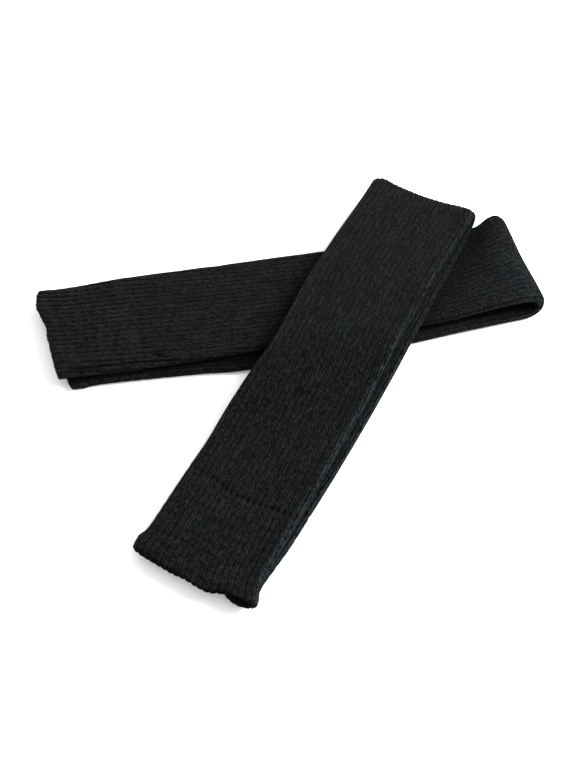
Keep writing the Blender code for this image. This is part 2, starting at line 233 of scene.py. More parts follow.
def knit_material(name, sheen, rib_grooves, wale_grooves, strand_contrast):
    """Make the knit of one kind of piece."""
    material = bpy.data.materials.new(name)
    material.use_nodes = True
    tree = material.node_tree
    shader = tree.nodes["Principled BSDF"]
    stitches = add_node(tree, "ShaderNodeGroup", node_tree=knit_stitches)
    stitches.inputs["Deep colour"].default_value = YARN_DEEP
    stitches.inputs["Cool colour"].default_value = YARN_COOL
    stitches.inputs["Warm colour"].default_value = YARN_WARM
    stitches.inputs["Painted highlight colour"].default_value = YARN_PAINTED_HIGHLIGHT
    stitches.inputs["Lint colour"].default_value = YARN_LINT
    stitches.inputs["Rib grooves"].default_value = rib_grooves
    stitches.inputs["Wale grooves"].default_value = wale_grooves
    stitches.inputs["Strand contrast"].default_value = strand_contrast
    courses = add_node(tree, "ShaderNodeUVMap", uv_map="wales_and_courses")
    tree.links.new(courses.outputs["UV"], stitches.inputs["Wales and courses"])
    shade = add_node(tree, "ShaderNodeAttribute", attribute_name="shade")
    tree.links.new(shade.outputs["Fac"], stitches.inputs["Shade"])
    bump = add_node(tree, "ShaderNodeBump")
    bump.inputs["Strength"].default_value = 1.0
    bump.inputs["Distance"].default_value = STITCH_RISE
    tree.links.new(stitches.outputs["Height"], bump.inputs["Height"])
    tree.links.new(stitches.outputs["Colour"], shader.inputs["Base Color"])
    tree.links.new(stitches.outputs["Roughness"], shader.inputs["Roughness"])
    tree.links.new(bump.outputs["Normal"], shader.inputs["Normal"])
    shader.inputs["Specular IOR Level"].default_value = 0.03
    shader.inputs["Sheen Weight"].default_value = sheen
    shader.inputs["Sheen Roughness"].default_value = 0.45
    shader.inputs["Sheen Tint"].default_value = (0.78, 0.90, 1.0, 1.0)
    return material


cuff_knit = knit_material(
    "elastic knit of the lower cuffs",
    sheen=0.011, rib_grooves=1.0, wale_grooves=0.4, strand_contrast=1.3)

# The wall of the tube, a pressed leg's height and how far its halves lie apart
WALL = 1.75
RIB_RISE = 0.9
HOLLOW = 0.6
HALF_LEG = HOLLOW / 2 + WALL
HALF_LEG_OVER_RIBS = HALF_LEG + RIB_RISE
LEG_THICKNESS = 2 * HALF_LEG_OVER_RIBS
HALVES_APART = 0.6
TURN_LENGTH = 26.0
UPPER_HALF, TURN, LOWER_HALF = range(3)

# Ribs of two wales each, rounded by a power of a sine, and the length of a course
GIRTH = 180.0
RIBS_ROUND = 40
RIB_WIDTH = GIRTH / RIBS_ROUND
WALES = 2 * RIBS_ROUND
WALE_ROUND = 0.8
PAIR_ROUND = 0.6
COURSE = 1.75
COLUMNS_A_WALE = 4
ROWS_AN_INNER_ROW = 4
# Painted shade on the inner skin, which shows inside the mouths
INNER_SHADE = 0.3
WANDER = 0.9

# How the mouth and its rim are bent, and how far from the rim each bend has died out
MOUTH_FADE = 45.0
GAPE_FADE = 22.0
RIM_ROUND = 1.1
RIM_OUTSIDE = 0.5
RIM_INSIDE = 0.45
RIM_SCALLOP = 0.5
SCALLOP_ROUND = 0.7
SCALLOP_FADE = 3.5
RIM_LUMP = 0.7
LUMP_FADE = 14.0
SLOPE_REACH = 1.0
NOISE_ROWS = 401
FIRST_END = 1
LAST_END = 2
AT_END = 0.0001
MERGE_WITHIN = 0.000001

# Where a sock lies, its edges at places along it, how far its mouth reaches and how wide it gapes,
# and its fold's outermost line, the loop that it holds open and the depth of its turn
Placing = namedtuple("Placing", "x y heading")
Edges = namedtuple("Edges", "along near far")
Mouth = namedtuple("Mouth", "across reach gape")
Fold = namedtuple("Fold", "across tip loop depth")
Crease = namedtuple("Crease", "along across depth")
Skew = namedtuple("Skew", "down shift")
Bend = namedtuple("Bend", "across shift")

# A ramp runs from its start, a streak along an edge, and patches of noise round and down the tube
Ramp = namedtuple("Ramp", "start length")
Streak = namedtuple("Streak", "shade middle wide")
Patches = namedtuple("Patches", "round length seed")
SOCK_COLUMNS = "name placing upper lower upper_mouth lower_mouth lip fold skew turn_at seed"
Sock = namedtuple("Sock", SOCK_COLUMNS)
Spots = namedtuple("Spots", "around down half along part across off side_across side_off")

RIB_WANDER = Patches(9, 60.0, 0)
RIM_LUMPS = Patches(18, math.inf, 5)


def ease(value):
    """Ease from 0 to 1 while the value goes from 0 to 1."""
    value = np.clip(value, 0.0, 1.0)
    return value * value * (3.0 - 2.0 * value)


def rise_over(ramp, value):
    """Ease from 0 to 1 while the value goes along a ramp."""
    return ease((value - ramp.start) / ramp.length)


def read(rows, column, at):
    """Read one column of a table on a smooth curve, at many places in its first column."""
    places = np.array([row[0] for row in rows], float)
    values = np.array([getattr(row, column) for row in rows], float)
    at = np.clip(at, places[0], places[-1])
    order = np.arange(len(places))
    before = np.maximum(order - 1, 0)
    after = np.minimum(order + 1, len(places) - 1)
    slopes = (values[after] - values[before]) / (places[after] - places[before])
    low = np.clip(np.searchsorted(places, at, side="right") - 1, 0, len(places) - 2)
    span = places[low + 1] - places[low]
    part = (at - places[low]) / span
    start_weight = 2 * part**3 - 3 * part**2 + 1
    leave_weight = part**3 - 2 * part**2 + part
    reach_weight = part**3 - part**2
    curve = start_weight * values[low] + (1 - start_weight) * values[low + 1]
    return curve + span * (leave_weight * slopes[low] + reach_weight * slopes[low + 1])


def uneven(sock, around, down, patches):
    """Give smooth noise between -1 and 1, in so many patches round the tube and each so long."""
    draw = np.random.default_rng(sock.seed + patches.seed)
    heights = draw.uniform(-1.0, 1.0, (patches.round, NOISE_ROWS))
    column = np.floor(around * patches.round).astype(int)
    row = np.floor(down / patches.length).astype(int)
    part_around = ease(around * patches.round - column)
    part_down = ease(down / patches.length - row)
    corners = [
        heights[(column + i) % patches.round, (row + j) % NOISE_ROWS] for i in (0, 1) for j in (0, 1)
    ]
    here = corners[0] + (corners[1] - corners[0]) * part_down
    beside = corners[2] + (corners[3] - corners[2]) * part_down
    return here + (beside - here) * part_around


def to_floor(placing, along, across):
    """Turn places on a leg into places on the floor."""
    heading = math.radians(placing.heading)
    x = placing.x + along * math.cos(heading) - across * math.sin(heading)
    y = placing.y + along * math.sin(heading) + across * math.cos(heading)
    return x, y


def tube_length(sock):
    """Give the length of a sock's tube, and how far down it the turn begins."""
    upper = sock.turn_at - sock.upper[0].along
    return upper + TURN_LENGTH + sock.turn_at - sock.lower[0].along, upper


def find_spots(sock, around, down, inset):
    """Find where on the pressed section, and in which half, each point of the knit is."""
    turn_from = tube_length(sock)[1]
    part = np.clip((down - turn_from) / TURN_LENGTH, 0.0, 1.0)
    beyond = np.maximum(down - turn_from - TURN_LENGTH, 0.0)
    along = sock.upper[0].along + np.minimum(down, turn_from) - beyond
    half = np.where(down < turn_from, UPPER_HALF, np.where(part < 1.0, TURN, LOWER_HALF))
    bulge = np.sin(math.pi * part) * (sock.upper[-1].along - sock.turn_at)
    near = (1 - ease(part)) * read(sock.upper, "near", along + bulge)
    near += ease(part) * read(sock.lower, "near", along + bulge) + inset
    far = (1 - ease(part)) * read(sock.upper, "far", along + bulge)
    far += ease(part) * read(sock.lower, "far", along + bulge) - inset
    radius = HALF_LEG - inset
    flat = far - near - 2 * radius
    quarter = math.pi * radius / 2
    whole = 2 * flat + 4 * quarter
    aside = WANDER * uneven(sock, around, down, RIB_WANDER) + read(sock.skew, "shift", down)
    path = np.mod(around * whole + aside, whole)
    turned = np.clip(path, 0, quarter)
    turned += np.clip(path - quarter - flat, 0, 2 * quarter)
    turned += np.clip(path - 3 * quarter - 2 * flat, 0, quarter)
    angle = turned / radius
    middle = near + radius + np.clip(path - quarter, 0, flat)
    middle -= np.clip(path - 3 * quarter - flat, 0, flat)
    side_across = -np.cos(angle)
    side_off = np.sin(angle)
    across = middle + radius * side_across
    return Spots(around, down, half, along, part, across, radius * side_off, side_across, side_off)


def under_lift(along, across, placing):
    """The lower sock lies on the floor."""
    return np.zeros_like(along)


def turn_start(sock, across):
    """Give the distance along the leg at which the turn of the fold begins."""
    return read(sock.fold, "tip", across) - HALF_LEG_OVER_RIBS - read(sock.fold, "depth", across)


def middle_height(sock, upper, along, across):
    """Give the height of the middle plane of a half."""
    height = lifts[sock.name](along, across, sock.placing) + HALF_LEG_OVER_RIBS
    if upper:
        height = height + LEG_THICKNESS + gaps[sock.name](sock, along, across)
    return height


def lay_half(sock, spots, upper):
    """Lay points in one half: along, up, and the direction out of the folded leg."""
    mouth = sock.upper_mouth if upper else sock.lower_mouth
    first = sock.upper[0].along if upper else sock.lower[0].along
    share = (spots.along - first) / (sock.turn_at - first)
    fade = 1.0 - ease((spots.along - first) / MOUTH_FADE)
    along = spots.along + share * (turn_start(sock, spots.across) - sock.turn_at)
    along = along + fade * (read(mouth, "reach", spots.across) - first)
    if upper:
        lip = read(sock.lip, "shift", spots.across) * np.maximum(spots.side_off, 0.0)
        along = along + lip * (1.0 - ease((spots.along - first) / LUMP_FADE))
    bulge = np.abs(np.sin(math.pi * RIBS_ROUND * spots.around)) ** SCALLOP_ROUND
    scallop = RIM_SCALLOP * (bulge - 0.5) * (1.0 - ease((spots.along - first) / SCALLOP_FADE))
    lump = RIM_LUMP * uneven(sock, spots.around, spots.down, RIM_LUMPS)
    along = along - scallop - lump * (1.0 - ease((spots.along - first) / LUMP_FADE))
    up = middle_height(sock, upper, along, spots.across)
    slope = middle_height(sock, upper, along + SLOPE_REACH, spots.across)
    slope = (slope - middle_height(sock, upper, along - SLOPE_REACH, spots.across)) / (2 * SLOPE_REACH)
    way = 1.0 if upper else -1.0
    return along, up, -slope * way, np.full_like(slope, way)


def lay_turn(sock, spots):
    """Lay points in the turn of the fold."""
    start = turn_start(sock, spots.across)
    depth = read(sock.fold, "depth", spots.across)
    top = middle_height(sock, True, start, spots.across)
    bottom = middle_height(sock, False, start, spots.across)
    rise = (top - bottom) / 2
    angle = math.pi * spots.part
    along = start + depth * np.sin(angle)
    up = (top + bottom) / 2 + rise * np.cos(angle)
    return along, up, np.sin(angle) / depth, np.cos(angle) / rise


def lay(sock, spots, relief):
    """Give the places of points that stand out from the wall by their relief, in metres."""
    # In the order of UPPER_HALF, TURN and LOWER_HALF
    laid = (lay_half(sock, spots, True), lay_turn(sock, spots), lay_half(sock, spots, False))
    along, up, out_along, out_up = [np.choose(spots.half, values) for values in zip(*laid)]
    length = np.hypot(out_along, out_up)
    gape = read(sock.upper_mouth, "gape", spots.across) * np.maximum(spots.side_off, 0.0)
    gape = gape * (1.0 - ease(spots.down / GAPE_FADE))
    off = spots.off + spots.side_off * relief + gape
    along = along + off * out_along / length
    x, y = to_floor(sock.placing, along, spots.across + spots.side_across * relief)
    return np.stack((x, y, up + off * out_up / length), axis=1) * MM


def ribs(spots, by_wale):
    """Give the ribs: two raised wales each, with a deep groove between ribs."""
    rib = spots.around * RIBS_ROUND
    wale = np.abs(np.sin(math.pi * rib * 2.0))
    pair = np.abs(np.sin(math.pi * rib))
    return RIB_RISE * (by_wale * wale**WALE_ROUND + (1.0 - by_wale) * pair**PAIR_ROUND)


def press_ends(spots, start, end, round_start, round_end):
    """Round the wall in at a rim."""
    pull = np.zeros_like(spots.down)
    if round_start:
        pull += 1.0 - np.sqrt(1.0 - (1.0 - np.clip((spots.down - start) / RIM_ROUND, 0.0, 1.0)) ** 2)
    if round_end:
        pull += 1.0 - np.sqrt(1.0 - (1.0 - np.clip((end - spots.down) / RIM_ROUND, 0.0, 1.0)) ** 2)
    return pull


def knit_skin(mesh, sock, start, end, columns, rows, inset, relief_of):
    """Knit a flat grid, mark its wales, courses and ends, and lay it on the sock."""
    grid = bmesh.ops.create_grid(mesh, x_segments=columns, y_segments=rows, size=0.5)
    corners = grid["verts"]
    flat = np.array([corner.co[:] for corner in corners]) + 0.5
    around = flat[:, 0]
    down = start + flat[:, 1] * (end - start)
    marks = mesh.loops.layers.uv["wales_and_courses"]
    ends = mesh.verts.layers.int["end"]
    shades = mesh.verts.layers.float["shade"]
    spots = find_spots(sock, around, down, inset)
    relief, shade = relief_of(spots)
    places = lay(sock, spots, relief)
    for face in {face for corner in corners for face in corner.link_faces}:
        for loop in face.loops:
            loop[marks].uv = (
                (loop.vert.co.x + 0.5) * WALES,
                (start + (loop.vert.co.y + 0.5) * (end - start)) / COURSE,
            )
    for corner, place, dark, row in zip(corners, places, shade, flat[:, 1]):
        corner.co = place
        corner[shades] = dark
        corner[ends] = FIRST_END if row < AT_END else LAST_END if row > 1.0 - AT_END else 0


def knit_piece(name, sock, start, end, rows, material, relief_of, round_ends=()):
    """Make a piece of a leg as a closed wall: a ribbed outer skin, a plain inner one and its ends."""
    def inner_relief_of(spots):
        pull = press_ends(spots, start, end, FIRST_END in round_ends, LAST_END in round_ends)
        return WALL * RIM_INSIDE * pull, np.full_like(pull, INNER_SHADE)

    mesh = bmesh.new()
    mesh.loops.layers.uv.new("wales_and_courses")
    mesh.verts.layers.int.new("end")
    mesh.verts.layers.float.new("shade")
    knit_skin(mesh, sock, start, end, WALES * COLUMNS_A_WALE, rows, 0.0, relief_of)
    knit_skin(mesh, sock, start, end, WALES, rows // ROWS_AN_INNER_ROW, WALL, inner_relief_of)
    bmesh.ops.remove_doubles(mesh, verts=mesh.verts[:], dist=MERGE_WITHIN)
    ends = mesh.verts.layers.int["end"]
    for which in (FIRST_END, LAST_END):
        rim = [edge for edge in mesh.edges if edge.is_boundary and edge.verts[0][ends] == which]
        bmesh.ops.bridge_loops(mesh, edges=rim)
        for edge in rim:
            edge.smooth = which in round_ends
    bmesh.ops.recalc_face_normals(mesh, faces=mesh.faces[:])
    data = bpy.data.meshes.new(name)
    mesh.to_mesh(data)
    mesh.free()
    data.shade_smooth()
    data.materials.append(material)
    piece = bpy.data.objects.new(name, data)
    bpy.context.scene.collection.objects.link(piece)
    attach(piece, "root")
    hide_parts("sock_" + sock.name)
    return piece


CUFF_LENGTH = 78.0
CUFF_ROWS = 96

# Eyelets, one in each groove between ribs, in a row that is pressed in a little; their holes are
# painted dark as shade
EYELETS_DOWN = 71.0
EYELET_DEPTH = 1.3
EYELET_WIDE = 1.15
EYELET_LONG = 1.5
EYELET_SHADE = 2.6
EYELET_ROW = Streak(0.25, 0.0, 2.4)
EYELET_STRENGTH = 0.72
EYELET_CHANCE = Patches(2 * RIBS_ROUND, 200.0, 3)

# Cross ridges of the elastic courses, which die out towards the eyelets
CROSS_RIDGE = 8.2
CROSS_RISE = 0.34
CROSS_ROUND = 1.5
CROSS_BEND = 1.6
CROSS_BENDS = Patches(12, 30.0, 2)
CROSS_STRENGTH = 0.7
CROSS_CHANCE = Patches(14, 17.0, 4)
CROSS_ON_FACES = 0.55
CROSS_ENDS = Ramp(52.0, 16.0)
# Painted shade in the valleys between the cross ridges and at the knots where they meet the rib grooves
KNOT_SHADE = 0.6
KNOT_WIDE = 0.9
VALLEY_SHADE = 0.12

# Ribs of a cuff: rounder and lower at the rim, and two clear wales past the eyelets
RIB_SPLIT = Ramp(60.0, 18.0)
RIB_GROWTH = Ramp(0.0, 60.0)
RIB_AT_RIM = 0.8
# Painted shade along the rim, and how pale the painted highlights may get
RIM_SHADE = 0.3
RIM_SHADE_FADE = 2.5
PALEST = -0.45

# The roll along the near edge of the top face, the hollow beside it, and where a sock covers them
ROLL_RISE = 0.55
ROLL = Streak(1.0, 3.2, 2.1)
ROLL_HOLLOW = Streak(0.8, 8.0, 2.2)
COVERED_AT = 245.0
COVERED_EDGE = Ramp(78.0, 12.0)

# The slanting lines where the upper sock's edges cross the lower sock, and the shade beside them
CROSSED_FROM = 195.5
CROSSED_TO = 315.3
CROSSING_SLANT = 0.791
CROSSING_SINE = 0.784
CROSSING_SHADE = Streak(0.5, 0.0, 9.0)
PAST_CROSSING_SHADE = Streak(0.5, 0.0, 23.0)
PAST_CROSSING_BELOW = 0.4
PAST_CROSSING_WIDENS = 0.2

# The strip of the lower half that shows, in the shade of the upper one until the fold opens
STRIP_SHADE = 0.25
STRIP_DEPTH_SHADE = 0.7
STRIP_DEPTH = Ramp(1.5, 6.0)
STRIP_OPENS = 3.0
NEAR_FOLD = Ramp(268.0, 40.0)

# Painted highlights on the lower sock: its fold, its far edge and its rim's far part
FOLD_PALE = 0.15
FOLD_PALE_FROM = Ramp(347.0, 13.0)
FOLD_PALE_TO = 0.6
UNDER_FAR_EDGE = Streak(-0.10, 1.0, 3.0)
UNDER_RIM_ACROSS = Streak(-0.25, 31.0, 5.0)
UNDER_RIM_DOWN = Streak(1.0, 2.0, 6.0)
FACES_OUT = -0.2

# The lower sock's place and shape, its halves' edges and mouths, and the skew of its ribs
UNDER_PLACING = Placing(-179.346, 25.828, 12.82)
UNDER_UPPER = (
    Edges(-5, -42.0, 49.2),
    Edges(20, -42.6, 47.8),
    Edges(45, -44.2, 48.5),
    Edges(66, -45.2, 48.9),
    Edges(105, -46.4, 47.0),
    Edges(165, -46.8, 45.3),
    Edges(212, -47.8, 43.9),
    Edges(290, -50.0, 42.4),
    Edges(345, -51.0, 43.2),
    Edges(374, -51.3, 48.0),
)
UNDER_LOWER = (
    Edges(8, -47.6, 41.0),
    Edges(16, -48.2, 41.2),
    Edges(25, -47.4, 41.4),
    Edges(36, -47.7, 41.5),
    Edges(63, -49.7, 40.5),
    Edges(106, -53.6, 37.0),
    Edges(133, -57.2, 33.0),
    Edges(200, -59.6, 31.5),
    Edges(265, -59.1, 32.5),
    Edges(310, -56.6, 36.0),
    Edges(345, -54.9, 40.0),
    Edges(374, -53.6, 44.5),
)
UNDER_UPPER_MOUTH = (
    Mouth(-45, 5.0, 0.2),
    Mouth(-40, 2.0, 0.4),
    Mouth(-25, 0.0, 0.3),
    Mouth(-5, -2.0, 0.4),
    Mouth(12, -3.0, 0.9),
    Mouth(30, -7.5, 1.6),
    Mouth(43, -7.4, 1.2),
    Mouth(49, -4.2, 0.6),
)
UNDER_LOWER_MOUTH = (
    Mouth(-50, 12.0, 0.0),
    Mouth(-40, 8.0, 0.0),
    Mouth(0, 6.0, 0.0),
    Mouth(45, 5.0, 0.0),
)

# How far the top wall's lip is set back at the mouth, which is nowhere on the lower sock
UNDER_LIP = (
    Bend(-50, 0.0),
    Bend(50, 0.0),
)

# The fold, and where it springs open beside the upper sock's edge
UNDER_FOLD = (
    Fold(-54, 372.4, 9.5, 12.0),
    Fold(-46, 375.0, 9.5, 12.0),
    Fold(0, 374.6, 9.0, 11.0),
    Fold(41, 376.0, 8.5, 9.0),
    Fold(48, 374.2, 8.0, 8.5),
)
SPRING_START = 275.7
SPRING_FROM = -50.0
SPRING_SHORTEST = 9.0

# How far the ribs have shifted round the tube at places down it
UNDER_SKEW = (
    Skew(0, 0.0),
    Skew(100, -8.0),
    Skew(200, -15.0),
    Skew(300, -18.0),
    Skew(400, -18.0),
)
under_sock = Sock("under", UNDER_PLACING, UNDER_UPPER, UNDER_LOWER, UNDER_UPPER_MOUTH,
                  UNDER_LOWER_MOUTH, UNDER_LIP, UNDER_FOLD, UNDER_SKEW, 361.0, 11)


def under_gap(sock, along, across):
    """The lower sock's halves lie close, and spring apart beside the upper sock."""
    end = turn_start(sock, across)
    start = np.minimum(SPRING_START + CROSSING_SLANT * (across - SPRING_FROM), end - SPRING_SHORTEST)
    loop = read(sock.fold, "loop", across) - HALVES_APART
    return HALVES_APART + loop * ease((along - start) / (end - start))


lifts = {"under": under_lift}
gaps = {"under": under_gap}


def trough(spots, creases, wide):
    """Press a soft trough along a crease that is given as a few places with depths."""
    depth = np.zeros_like(spots.along)
    for first, second in zip(creases, creases[1:]):
        step_along = second.along - first.along
        step_across = second.across - first.across
        reach = (spots.along - first.along) * step_along + (spots.across - first.across) * step_across
        reach = np.clip(reach / (step_along**2 + step_across**2), 0.0, 1.0)
        away = np.hypot(spots.along - first.along - reach * step_along,
                        spots.across - first.across - reach * step_across)
        deep = first.depth + reach * (second.depth - first.depth)
        depth = np.maximum(depth, deep * band(away, wide))
    return depth


def band(distance, wide):
    """Give a soft band that is 1 at its middle."""
    return np.exp(-((distance / wide) ** 2))


def streak_at(streak, distance):
    """Give the strength of a streak at a distance from the edge that it runs along."""
    return streak.shade * band(distance - streak.middle, streak.wide)


def uncovered(sock, spots):
    """Give 0 where the upper sock lies on the lower one, and 1 elsewhere."""
    if sock.name == "over":
        return 1.0
    return rise_over(COVERED_EDGE, np.abs(spots.along - COVERED_AT))


def rolled_edge(sock, spots):
    """Raise the near edge of the top face a little, as a roll with a hollow beside it."""
    inward = spots.across - read(sock.upper, "near", spots.along)
    roll = ROLL_RISE * (streak_at(ROLL, inward) - streak_at(ROLL_HOLLOW, inward))
    return roll * uncovered(sock, spots) * (spots.half == UPPER_HALF) * np.maximum(spots.side_off, 0.0)


def under_shade(sock, spots):
    """Paint shade on the lower sock beside and under the upper one, and highlights at its far edge, fold
    and rim.
    """
    inward = spots.across - read(sock.lower, "near", spots.along)
    outward = read(sock.upper, "far", spots.along) - spots.across
    near_fold = rise_over(NEAR_FOLD, spots.along)
    strip = STRIP_SHADE * (1.0 - near_fold)
    strip += STRIP_DEPTH_SHADE * rise_over(STRIP_DEPTH, inward - STRIP_OPENS * near_fold)
    shade = strip * np.where(spots.half == LOWER_HALF, 1.0, ease(spots.part))
    before = (CROSSED_FROM + CROSSING_SLANT * spots.across - spots.along) * CROSSING_SINE
    shade = np.maximum(shade, streak_at(CROSSING_SHADE, before))
    past = (spots.along - CROSSED_TO - CROSSING_SLANT * spots.across) * CROSSING_SINE
    deep = PAST_CROSSING_SHADE.shade * np.where(spots.half == LOWER_HALF, PAST_CROSSING_BELOW, 1.0)
    wide = PAST_CROSSING_SHADE.wide + PAST_CROSSING_WIDENS * spots.across
    shade = np.maximum(shade, deep * band(past, wide))
    turned = 1.0 - ease(spots.part / FOLD_PALE_TO)
    at_fold = np.where(spots.half == UPPER_HALF, rise_over(FOLD_PALE_FROM, spots.along), turned)
    shade -= FOLD_PALE * at_fold * (spots.half != LOWER_HALF)
    pale = streak_at(UNDER_FAR_EDGE, outward) * (spots.side_off > FACES_OUT)
    pale += streak_at(UNDER_RIM_ACROSS, spots.across) * streak_at(UNDER_RIM_DOWN, spots.down)
    return shade + pale * (spots.half == UPPER_HALF)


shades = {"under": under_shade}


def knit_ridges(sock, spots, from_rim):
    """Give how deep the valleys between the cross ridges of the elastic courses are."""
    phase = 2 * math.pi * from_rim / CROSS_RIDGE
    phase += CROSS_BEND * uneven(sock, spots.around, spots.down, CROSS_BENDS)
    chance = uneven(sock, spots.around, spots.down, CROSS_CHANCE)
    valley = (0.5 - 0.5 * np.cos(phase)) ** CROSS_ROUND
    valley *= CROSS_STRENGTH + (1.0 - CROSS_STRENGTH) * chance
    valley *= 1.0 - CROSS_ON_FACES + CROSS_ON_FACES * np.abs(spots.side_off)
    return valley * (1.0 - rise_over(CROSS_ENDS, from_rim))


def cuff_relief(sock, start, end, rim_down, eyelets):
    """Make a cuff's relief of ribs, cross ridges and eyelets, and its painted shade and highlights."""
    def relief_of(spots):
        from_rim = np.abs(spots.down - rim_down)
        by_wale = (1.0 + rise_over(RIB_SPLIT, from_rim)) / 4.0
        grown = RIB_AT_RIM + (1.0 - RIB_AT_RIM) * rise_over(RIB_GROWTH, from_rim)
        valley = knit_ridges(sock, spots, from_rim)
        relief = ribs(spots, by_wale) * grown - CROSS_RISE * valley + rolled_edge(sock, spots)

        rib_part = spots.around * RIBS_ROUND
        to_groove = np.abs(rib_part - np.round(rib_part)) * RIB_WIDTH
        row, openness = eyelets(spots)
        row = row - from_rim
        chance = uneven(sock, spots.around, spots.down, EYELET_CHANCE)
        strength = EYELET_STRENGTH + (1.0 - EYELET_STRENGTH) * chance
        hole = openness * strength * band(to_groove, EYELET_WIDE) * band(row, EYELET_LONG)
        relief -= EYELET_DEPTH * hole + openness * streak_at(EYELET_ROW, row)
        relief -= WALL * RIM_OUTSIDE * press_ends(spots, start, end, rim_down == start, rim_down == end)

        knot = valley * band(to_groove, KNOT_WIDE)
        shade = shades[sock.name](sock, spots) + EYELET_SHADE * hole
        shade += KNOT_SHADE * knot + VALLEY_SHADE * valley
        shade += RIM_SHADE * (1.0 - ease(from_rim / RIM_SHADE_FADE))
        return relief, np.clip(shade, PALEST, 1.0)
    return relief_of


# The bow of the lower sock's eyelets, and the crease and pucker in its top face
ROW_BOW = 2.0
ROW_BOW_WIDE = 24.0
UNDER_OPENNESS = 0.3
CREASED_FACE = 0.5
CREASE_WIDE = 1.1
CREASE_SHADE = 0.62
PUCKER_WIDE = 1.3
PUCKER_SHADE = 0.55
UNDER_CREASE = (
    Crease(2, -37.2, 0.4),
    Crease(10, -37.6, 1.8),
    Crease(30, -38.6, 1.8),
    Crease(50, -40.0, 1.7),
    Crease(66, -41.6, 1.4),
    Crease(80, -43.5, 1.0),
    Crease(90, -45.5, 0.5),
)
UNDER_PUCKER = (
    Crease(70, -34.0, 0.4),
    Crease(76, -37.5, 1.5),
    Crease(84, -41.0, 1.3),
)


def under_eyelets(spots):
    """The row of eyelets bows a little away from the rim, and its holes are nearly closed."""
    return EYELETS_DOWN + ROW_BOW * np.cos(spots.across / ROW_BOW_WIDE), UNDER_OPENNESS


def press_creases(spots, relief, shade):
    """Press the crease beside the rolled edge and the pucker at its end into the top face, with painted
    shade.
    """
    on_top = (spots.half == UPPER_HALF) & (spots.side_off > CREASED_FACE)
    crease = on_top * trough(spots, UNDER_CREASE, CREASE_WIDE)
    pucker = on_top * trough(spots, UNDER_PUCKER, PUCKER_WIDE)
    shade = shade + CREASE_SHADE * crease + PUCKER_SHADE * pucker
    return relief - crease - pucker, np.clip(shade, PALEST, 1.0)


def under_upper_relief(spots):
    """The upper cuff of the lower sock has a rolled edge with a crease beside it."""
    relief, shade = cuff_relief(under_sock, 0.0, CUFF_LENGTH, 0.0, under_eyelets)(spots)
    return press_creases(spots, relief, shade)


under_upper_cuff = knit_piece(
    "under_upper_cuff", under_sock, 0.0, CUFF_LENGTH, CUFF_ROWS, cuff_knit, under_upper_relief,
    round_ends=(FIRST_END,))

# The lower sock's leg
# The ribbed tube from cuff to cuff, knitted in one with them, pressed flat and folded in half. It
# lies on the floor and springs open in a loop at the fold, past the weight of the upper sock.
LEG_ROWS = 262
LIE_RISE = 0.35
LIE = Patches(10, 38.0, 1)
LIE_FROM_CUFF = Ramp(CUFF_LENGTH, 15.0)
under_length = tube_length(under_sock)[0]


def leg_relief(sock):
    """Make the relief of a leg: ribs, and a face that lies a little unevenly."""
    def relief_of(spots):
        facing_up = np.maximum(spots.side_off, 0.0) * (spots.half == UPPER_HALF)
        lie = LIE_RISE * uneven(sock, spots.around, spots.down, LIE)
        lie = lie * rise_over(LIE_FROM_CUFF, spots.down) * uncovered(sock, spots)
        relief = ribs(spots, 0.5) + facing_up * lie + rolled_edge(sock, spots)
        return relief, np.clip(shades[sock.name](sock, spots), PALEST, 1.0)
    return relief_of


def under_leg_relief(spots):
    """The crease in the lower sock's cuff runs out into its leg, where the pucker lies."""
    return press_creases(spots, *leg_relief(under_sock)(spots))


leg_knit = knit_material(
    "ribbed knit of the lower leg",
    sheen=0.014, rib_grooves=1.0, wale_grooves=1.0, strand_contrast=1.4)
under_leg = knit_piece(
    "under_leg", under_sock, CUFF_LENGTH, under_length - CUFF_LENGTH, LEG_ROWS, leg_knit,
    under_leg_relief)

# The lower sock's lower cuff
# The other end of the same tube, with the same elastic courses and eyelets. It lies on the floor
# under the upper cuff, a little nearer and shorter, so that its rim and near edge show.
under_lower_cuff = knit_piece(
    "under_lower_cuff", under_sock, under_length - CUFF_LENGTH, under_length, CUFF_ROWS, cuff_knit,
    cuff_relief(under_sock, under_length - CUFF_LENGTH, under_length, under_length, under_eyelets),
    round_ends=(LAST_END,))

# The upper sock's upper cuff
# The end of a second tube of the same black yarn, with the same elastic courses and eyelets. It is
# laid across the first tube with its cuffs on the floor, and its mouth gapes at the near corner.

# The upper sock's place and shape, in the same tables
OVER_PLACING = Placing(-58.646, -176.972, 64.47)
OVER_UPPER = (
    Edges(-5, -42.7, 46.6),
    Edges(0, -42.1, 47.6),
    Edges(5, -40.4, 47.2),
    Edges(11, -38.8, 45.8),
    Edges(18, -38.2, 45.0),
    Edges(28, -38.6, 44.9),
    Edges(74, -40.0, 44.3),
    Edges(125, -40.7, 43.7),
    Edges(158, -41.5, 41.0),
    Edges(188, -42.2, 38.7),
    Edges(220, -43.0, 40.6),
    Edges(255, -43.8, 42.8),
    Edges(297, -44.5, 43.0),
    Edges(345, -46.7, 42.3),
    Edges(390, -49.3, 42.6),
)
OVER_LOWER = (
    Edges(3, -39.2, 48.0),
    Edges(6, -38.8, 49.2),
    Edges(10, -38.4, 50.5),
    Edges(14, -38.3, 49.8),
    Edges(18, -38.4, 47.5),
    Edges(23, -38.9, 46.0),
    Edges(32, -40.0, 45.6),
    Edges(48, -41.9, 44.4),
    Edges(91, -44.2, 42.6),
    Edges(136, -46.0, 41.0),
    Edges(188, -47.7, 37.9),
    Edges(225, -49.8, 38.6),
    Edges(262, -51.0, 40.2),
    Edges(300, -50.8, 41.0),
    Edges(345, -50.7, 41.5),
    Edges(390, -49.9, 42.1),
)
